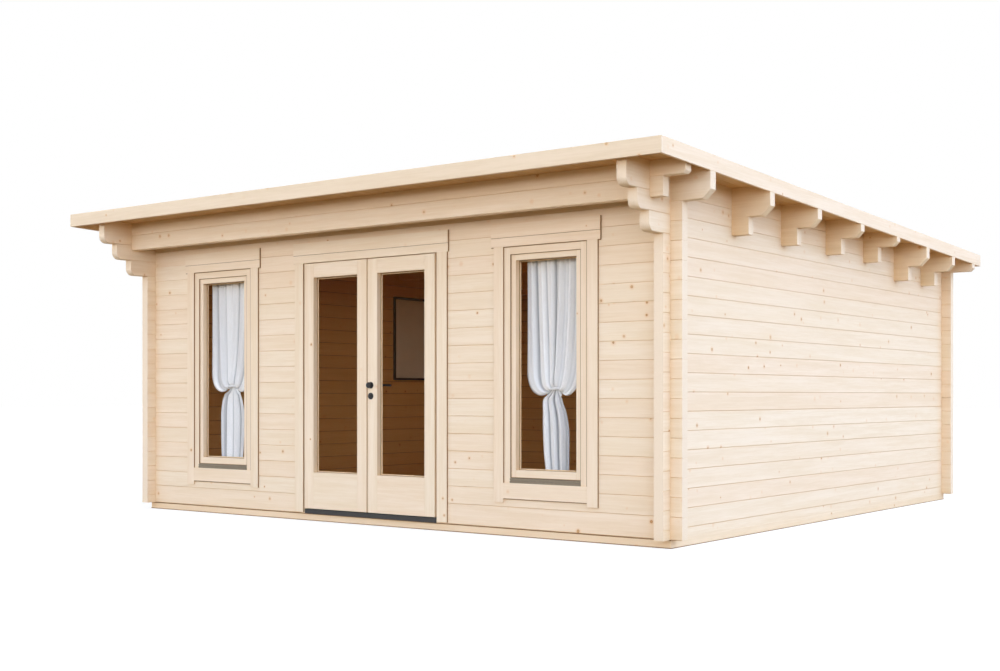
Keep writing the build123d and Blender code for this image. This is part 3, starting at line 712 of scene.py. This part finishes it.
def felt_rolls():
    low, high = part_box("roof_felt")
    fall = (deck_front - deck_back) / (high.y - low.y)
    pitch = (high.y - low.y) / roll_count

    def deck_top(y):
        return deck_front - fall * (y - low.y) + deck_height

    rolls = bmesh.new()
    for i in range(roll_count):
        start = low.y + i * pitch
        end = min(start + pitch + roll_lap, high.y)
        rise = 0.0 if i == roll_count - 1 else roll_thickness
        profile = [(start, 0.0), (start + roll_lap, 0.0), (end - roll_lap - roll_climb, 0.0),
                   (end - roll_lap, rise), (end, rise)]
        rows = []
        for x in np.linspace(low.x, high.x, roll_columns):
            wave = sum(height * math.sin(turn * x + shift * i) for height, turn, shift in roll_ripples)
            swell = [0.0] + [wave] * (len(profile) - 2) + [0.0]
            upper = [rolls.verts.new((x, y, deck_top(y) + h + roll_thickness + s))
                     for (y, h), s in zip(profile, swell)]
            under = [rolls.verts.new((x, y, deck_top(y) + h)) for y, h in reversed(profile)]
            rows.append(upper + under)
        for a, b in zip(rows, rows[1:]):
            skin(rolls, a, b)
        rolls.faces.new(rows[0])
        rolls.faces.new(rows[-1][::-1])
    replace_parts(from_bmesh(rolls, "felt_rolls", felt, "root"), "roof_felt")


felt_rolls()


# Glazing: a thin gasket in front of every pane and a bead behind it

def glaze(name, body, panes, y):
    """Gasket and bead round panes, each given as its low and high (x, z) corners."""
    front, back = y
    gasket = [(0, front), (gasket_width, front),
              (gasket_lip, front - gasket_depth), (0, front - gasket_depth)]
    bead = [(0, back), (bead_width, back), (bead_width, back + bead_edge),
            (bead_slope_width, back + bead_depth), (0, back + bead_depth)]
    gaskets = bmesh.new()
    beads = bmesh.new()
    for low, high in panes:
        add_frame(gaskets, low, high, gasket)
        add_frame(beads, low, high, bead)
    from_bmesh(gaskets, name + "_gaskets", gasket_and_shade_strip, body)
    bead_piece = from_bmesh(beads, name + "_beads", clear_wood["Z"], body)
    finish_timber(bead_piece, bead_seed, 0)


for body in ("left_leaf", "right_leaf"):
    low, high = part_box(body + "_glass")
    glaze(body, body, [((low.x, low.z), (high.x, high.z))], (low.y, high.y))
low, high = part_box("window_panes")
window_panes = [places("window_panes", right) for right in (False, True)]
window_centres = [sum(x) / 2 for x in window_panes]
glaze("window", "root", [((x[0], low.z), (x[1], high.z)) for x in window_panes], (low.y, high.y))


# Dark strips that paint shade lines and shadow gaps round the door and the windows

trim_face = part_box("door_side_trims")[0].y
wall_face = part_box("door_side_trims")[1].y
edge_depth = (trim_face + strip_set_back, wall_face + strip_seat)
seam_depth = (trim_face - strip_seat, trim_face + seam_strip_depth)


def add_edge_strip(bm, x, out, z):
    """Dark strip of painted shade beside an upright edge, on the side that out gives as -1 or 1."""
    add_strip(bm, sorted((x, x + out * strip_width)), edge_depth, z)


def add_seam_strip(bm, x, node):
    """Dark strip of painted shade along the seam of a header."""
    seam = seam_height(node)
    add_strip(bm, x, seam_depth, (seam - seam_strip_height, seam))


def add_window_strips(bm, right):
    outer_left, inner_left, inner_right, outer_right = places("window_side_trims", right)
    header_left, header_right = places("window_headers", right)
    header_low, header_high = (corner.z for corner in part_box("window_headers"))
    sill_low, sill_high = (corner.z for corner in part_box("window_sill_boards"))
    frame_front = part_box("window_frame_jambs")[0].y
    frame_top = header_low - inner_strip_height
    # Painted shade beside the trims and the header, behind their front edges
    for x, out in ((outer_left, -1), (outer_right, 1)):
        add_edge_strip(bm, x, out, (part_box("window_side_trims")[0].z, header_low))
    for x, out in ((header_left, -1), (header_right, 1)):
        add_edge_strip(bm, x, out, (header_low, header_high))
    # Painted shade along the header's seam, and under the header and the sill board
    add_seam_strip(bm, (header_left, header_right), "window_headers")
    for x in ((header_left, outer_left), (outer_right, header_right)):
        add_strip(bm, x, edge_depth, (header_low - ear_strip_height, header_low))
    add_strip(bm, (inner_left, inner_right), (frame_front - inner_strip_depth, frame_front),
              (frame_top, header_low))
    add_strip(bm, (inner_left, inner_right), edge_depth, (sill_low - inner_strip_height, sill_low))
    # Painted shade where the trims step back to the frame, and the frame to the sash
    for x, into in ((inner_left, rebate_strip_width), (inner_right, -rebate_strip_width)):
        add_strip(bm, sorted((x, x + into)), (trim_face + rebate_strip_set_back, frame_front),
                  (sill_high, frame_top))
    sash_low, sash_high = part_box("window_sash_stiles")
    sash_x = places("window_sash_stiles", right)
    strip_y = (frame_front + rebate_strip_set_back, sash_low.y + sash_strip_reach)
    outline = [(0, strip_y[0]), (rebate_strip_width, strip_y[0]),
               (rebate_strip_width, strip_y[1]), (0, strip_y[1])]
    add_frame(bm, (sash_x[0] - rebate_strip_width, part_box("window_drip_bars")[1].z),
              (sash_x[-1] + rebate_strip_width, sash_high.z + rebate_strip_width), outline)


def add_door_strips(bm):
    # Painted shade along the header's seam, and beside the trims and the header's ends
    low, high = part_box("door_header")
    upright = (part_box("door_side_trims")[0].z, low.z)
    add_seam_strip(bm, (low.x, high.x), "door_header")
    for right, out, header_edge in ((False, -1, low.x), (True, 1, high.x)):
        inner, outer = sorted(places("door_side_trims", right), key=abs)
        add_edge_strip(bm, outer, out, upright)
        add_edge_strip(bm, inner, -out, upright)
        add_edge_strip(bm, header_edge, out, (low.z, high.z))


strips = bmesh.new()
for right in (False, True):
    add_window_strips(strips, right)
add_door_strips(strips)
from_bmesh(strips, "painted_shade_strips", gasket_and_shade_strip, "root")


# Dark strip of painted shade in the gap between the two leaves, on the edge of the left one

def meeting_shade_strip():
    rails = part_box("left_leaf_rails")[0]
    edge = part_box("left_leaf_stiles")[1].x
    strip = bmesh.new()
    add_strip(strip, (edge, edge + meeting_shade_strip_width),
              (rails.y + meeting_shade_strip_front, rails.y + meeting_shade_strip_back),
              (rails.z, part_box("left_leaf_hinges")[1].z))
    from_bmesh(strip, "meeting_shade_strip", gasket_and_shade_strip, "left_leaf")


meeting_shade_strip()


# Dark strips of painted shade under and over the bearers: a contact shadow along the ground, and a shadow
# gap under the bottom logs

def base_shade_strips():
    low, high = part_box("front_and_back_bearers")
    side_low, side_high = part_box("side_bearers")
    strip = bmesh.new()
    for y in ((low.y - base_shade_strip_depth, low.y), (high.y, high.y + base_shade_strip_depth)):
        add_strip(strip, (low.x, high.x), y, (0.0, base_shade_strip_height))
        add_strip(strip, (low.x, high.x), y, (high.z - base_shade_strip_height, high.z - strip_seat))
    for x in ((side_low.x - side_base_shade_strip_depth, side_low.x),
              (side_high.x, side_high.x + side_base_shade_strip_depth)):
        add_strip(strip, x, (low.y, high.y), (0.0, side_base_shade_strip_height))
    from_bmesh(strip, "base_shade_strips", gasket_and_shade_strip, "root")


base_shade_strips()


# Drip profiles under the sashes: coated bars with a groove along the face and a small lip on top

def drip_profiles():
    low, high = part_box("window_drip_bars")
    tall = high.z - low.z
    groove = [share * tall for share in drip_groove_shares]
    lip = [share * tall for share in drip_lip_shares]
    face = [(drip_bevel, 0.0), (0.0, drip_bevel), (0.0, groove[0]), (drip_groove_depth, groove[1]),
            (drip_groove_depth, groove[2]), (drip_face_step, groove[3]), (drip_face_step, lip[0]),
            (drip_lip_depth, lip[1]), (drip_slope_depth, tall)]
    outline = [(0, low.y + y, low.z + z) for y, z in face] + [(0, high.y, high.z), (0, high.y, low.z)]
    bars = bmesh.new()
    for right in (False, True):
        x0, x1 = places("window_drip_bars", right)
        add_bar(bars, outline, (x0, 0, 0), (x1, 0, 0))
    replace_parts(from_bmesh(bars, "window_drip_profiles", taupe, "root"), "window_drip_bars")


drip_profiles()


# Curtains: gathered on the rod, tied low down so that the cloth bags over the tie, with a loose tail

rod_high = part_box("curtain_rods")[1]
rod_y = rod_high.y - rod_radius
rod_z = rod_high.z - rod_bracket_half


def smooth_rows(table, count):
    """Rows of a table blended by Catmull-Rom curves into many rows."""
    table = np.array(table, float)
    spots = np.linspace(0, len(table) - 1, count)
    index = np.minimum(spots.astype(int), len(table) - 2)
    share = (spots - index)[:, None]
    p0, p1 = table[np.maximum(index - 1, 0)], table[index]
    p2, p3 = table[index + 1], table[np.minimum(index + 2, len(table) - 1)]
    return 0.5 * (2 * p1 + (p2 - p0) * share + (2 * p0 - 5 * p1 + 4 * p2 - p3) * share ** 2
                  + (3 * p1 - p0 - 3 * p2 + p3) * share ** 3)


def set_painted_fold_light(mesh, values):
    """Painted light of the cloth's folds at each point, from 0 in the darkest crease to 1."""
    painted_fold_light = mesh.attributes.new("painted_fold_light", "FLOAT", "POINT")
    painted_fold_light.data.foreach_set("value", np.asarray(values, np.float32).ravel())


def curtain_rows(body, knot, tail):
    """Rows of the cloth from the rod to the hem: the height at the edges and in the middle, the left and
    right edge, the depth, the fold depth and the pull to the middle."""
    left, right = body
    tie_x, tie_z = knot
    table = []
    for over, depth, fold in heading_rows:
        table.append((rod_z + over, rod_z + over, left, right, depth, fold, 0.0))
    for height, depth, fold, pull in hanging_rows:
        table.append((height, height, left, right, depth, fold, pull))
    for share, edge, middle, depth, fold, pull in bagging_rows:
        x0, x1 = (tie_x + (x - tie_x) * share for x in body)
        table.append((tie_z + edge, tie_z + middle, x0, x1, depth, fold, pull))
    table.append((tie_z - waist_drop, tie_z, tie_x - waist_half_width, tie_x + waist_half_width,
                  waist_depth, waist_fold, waist_pull))
    for n, (height, x0, x1) in enumerate(tail):
        fold = min(tail_fold + tail_fold_growth * n, tail_fold_limit)
        table.append((height, height, x0, x1, tail_depth, fold, 0.0))
    return table


def fold_wave(turn, phase, row):
    """Uneven folds: a main wave with a quicker one and a slower one over it."""
    quick = 0.45 * np.sin(2.1 * turn + 1.3 * phase)
    slow = 0.25 * np.sin(0.6 * turn + phase + row * 0.012)
    return np.sin(turn) + quick + slow


def curtain_cloth(centre, phase, body, knot, tail):
    """Grid of the cloth's points and the painted light of the folds at each of them."""
    table = curtain_rows(body, knot, tail)
    tail_start = cloth_rows * (len(table) - len(tail)) / len(table)
    across = np.linspace(-1, 1, cloth_columns)
    points = []
    painted_fold_light = []
    for n, (side_z, mid_z, x0, x1, depth, fold, pull) in enumerate(smooth_rows(table, cloth_rows)):
        spread = np.abs(across) ** (1 + pull) * np.sign(across)
        blend = min(max((n - tail_start) / fold_blend_rows, 0.0), 1.0)
        folds = body_folds + (tail_folds - body_folds) * blend
        turn = across * folds * math.pi + phase
        wave = fold_wave(turn, phase, n)
        sway = sway_share * np.cos(turn) * min(1.0, fold / fold_full_depth) / folds
        x = centre + (x0 + x1) / 2 + (x1 - x0) / 2 * (spread + sway)
        y = rod_y + depth + fold * wave / fold_wave_height
        z = mid_z + (side_z - mid_z) * np.abs(across) ** edge_curve
        points.append(np.stack([x, y, z], 1))
        # Painted shade: darker in the creases of the folds and in broad bands across the cloth
        crease = np.clip((wave + 0.1) / 1.2, 0.0, 1.0)
        broad = 0.5 + 0.5 * np.sin(0.37 * turn + 2.0 * phase)
        deep, power, wide = body_crease if n < tail_start else tail_crease
        painted_fold_light.append(np.clip(most_painted_fold_light - deep * crease ** power - wide * broad, 0.0, 1.0))
    return np.array(points), painted_fold_light


def curtain_tie(name, centre, knot):
    """Short band of the same cloth, wound round the waist."""
    tie_x, tie_z = knot
    waist = Vector((centre + tie_x, rod_y + waist_depth, tie_z - waist_drop))
    band = bmesh.new()
    rings = []
    for i in range(tie_rings):
        a = 2 * math.pi * i / tie_rings
        ring = []
        for j in range(tie_sides):
            b = 2 * math.pi * j / tie_sides
            out = tie_thickness * math.cos(b) + tie_wrinkle * math.sin(3 * a + j)
            place = Vector(((tie_half_width + out) * math.cos(a), (tie_half_depth + out) * math.sin(a),
                            tie_half_height * math.sin(b) + tie_tilt * math.cos(a)))
            ring.append(band.verts.new(waist + place))
        rings.append(ring)
    for a, b in zip(rings, rings[1:] + rings[:1]):
        skin(band, a, b)
    tie = from_bmesh(band, name + "_tie", cloth, "root")
    smooth(tie.data)
    set_painted_fold_light(tie.data, [tie_painted_fold_light] * len(tie.data.vertices))
    return tie


def add_curtain(name, node, centre, phase, body, knot, tail):
    """body is the left and right edge of the gathered cloth, knot the place of the tie and its height, and
    tail the (height, left, right) rows of the hanging end, all measured from the window's centre in X."""
    grid, painted_fold_light = curtain_cloth(centre, phase, body, knot, tail)
    ids = np.arange(cloth_rows * cloth_columns).reshape(cloth_rows, cloth_columns)
    quads = np.stack([ids[:-1, :-1], ids[:-1, 1:], ids[1:, 1:], ids[1:, :-1]], -1).reshape(-1, 4)
    mesh = bpy.data.meshes.new(name)
    mesh.from_pydata(grid.reshape(-1, 3).tolist(), [], quads.tolist())
    smooth(mesh)
    set_painted_fold_light(mesh, painted_fold_light)
    obj = new_piece(name, mesh, cloth, "root")
    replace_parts(obj, node)
    tie = curtain_tie(name, centre, knot)


add_curtain("right_curtain_cloth", "right_curtain", window_centres[1], phase=0.4,
            body=(-0.251, 0.226), knot=(0.000, 1.037),
            tail=[(1.000, -0.070, 0.046), (0.95, -0.106, 0.055), (0.86, -0.106, 0.090),
                  (0.74, -0.105, 0.112), (0.58, -0.096, 0.112), (0.46, -0.083, 0.110),
                  (0.338, -0.085, 0.108)])
add_curtain("left_curtain_cloth", "left_curtain", window_centres[0], phase=2.1,
            body=(-0.276, 0.226), knot=(-0.014, 1.068),
            tail=[(1.030, -0.075, 0.052), (0.97, -0.130, 0.090), (0.86, -0.155, 0.122),
                  (0.74, -0.157, 0.126), (0.58, -0.155, 0.118), (0.46, -0.150, 0.108),
                  (0.338, -0.148, 0.104)])


# Camera at the photograph's place

camera = bpy.data.cameras.new("camera")
camera.sensor_fit = "HORIZONTAL"
camera.sensor_width = sensor_width_mm
camera.lens = lens_mm
camera.shift_y = camera_shift_share
camera.clip_end = camera_clip
viewer = bpy.data.objects.new("camera", camera)
viewer.location = camera_place
viewer.rotation_euler = (math.radians(90), 0, camera_turn)
scene.collection.objects.link(viewer)
scene.camera = viewer


# Sky: white to the camera and in reflections, and a soft light, warm near the ground and cooler higher up

world = bpy.data.worlds.new("studio")
scene.world = world
sky = Tree(world)
sky.tree.nodes.clear()
to_x, to_y, to_z = sky.coordinates("Generated")


def sky_part(colour, strength):
    part = sky.add("ShaderNodeBackground")
    part.inputs["Color"].default_value = (*colour, 1.0)
    sky.join(strength, part.inputs["Strength"])
    return part.outputs[0]


def leaning(lean):
    """1, changed by the lean in the directions towards +X and +Y."""
    return sky.math("MULTIPLY_ADD", to_y, lean[1], sky.math("MULTIPLY_ADD", to_x, lean[0], 1.0))


# The low glow is stronger at the front and left, and the high light comes mostly from the right
fade = sky.math("EXPONENT", sky.math("MULTIPLY", sky.math("MAXIMUM", to_z, 0.0), -low_glow_fade))
low_glow = sky.math("MULTIPLY", leaning(low_glow_lean), sky.math("MULTIPLY", fade, low_glow_strength))
high_side = sky.math("MAXIMUM", leaning(high_light_lean), high_light_least)
high_light = sky.math("MULTIPLY", high_side, high_light_strength)
soft = sky.add("ShaderNodeAddShader")
sky.join(sky_part(low_glow_colour, low_glow), soft.inputs[0])
sky.join(sky_part(high_light_colour, high_light), soft.inputs[1])
shown = sky.choose(sky.seen(), soft.outputs[0], sky_part((1.0, 1.0, 1.0), 1.0))
sky.join(shown, sky.add("ShaderNodeOutputWorld").inputs[0])


# A soft lamp under the roof stands for the light that the room throws about

lamp = bpy.data.lights.new("room_light", "AREA")
lamp.shape = "SQUARE"
lamp.size = lamp_size
lamp.energy = lamp_watts
lamp.color = lamp_colour
hung = bpy.data.objects.new("room_light", lamp)
hung.location = (0.0, 0.0, lamp_height)
hung.visible_camera = False
scene.collection.objects.link(hung)


# Floor: white with the chalet's shadow to the camera, and darker where it throws light back

def floor_material():
    t = material_tree("studio_floor")
    t.tree.nodes.remove(t.shader)
    back = t.add("ShaderNodeBsdfDiffuse")
    back.inputs["Color"].default_value = (*stage_bounce, 1.0)
    shade = t.add("ShaderNodeBsdfDiffuse")
    shade.inputs["Color"].default_value = (*stage_shade, 1.0)
    glow = t.add("ShaderNodeEmission")
    glow.inputs["Strength"].default_value = stage_glow
    both = t.add("ShaderNodeAddShader")
    t.join(shade.outputs[0], both.inputs[0])
    t.join(glow.outputs[0], both.inputs[1])
    shown = t.choose(t.seen(), back.outputs[0], both.outputs[0])
    t.join(shown, t.tree.nodes["Material Output"].inputs["Surface"])
    return t.material


floor_mesh = bpy.data.meshes.new("studio_floor")
corners = [(x * stage_reach, y * stage_reach, 0) for x, y in ((-1, -1), (1, -1), (1, 1), (-1, 1))]
floor_mesh.from_pydata(corners, [], [(0, 1, 2, 3)])
floor_mesh.materials.append(floor_material())
studio_floor = bpy.data.objects.new("studio_floor", floor_mesh)
scene.collection.objects.link(studio_floor)
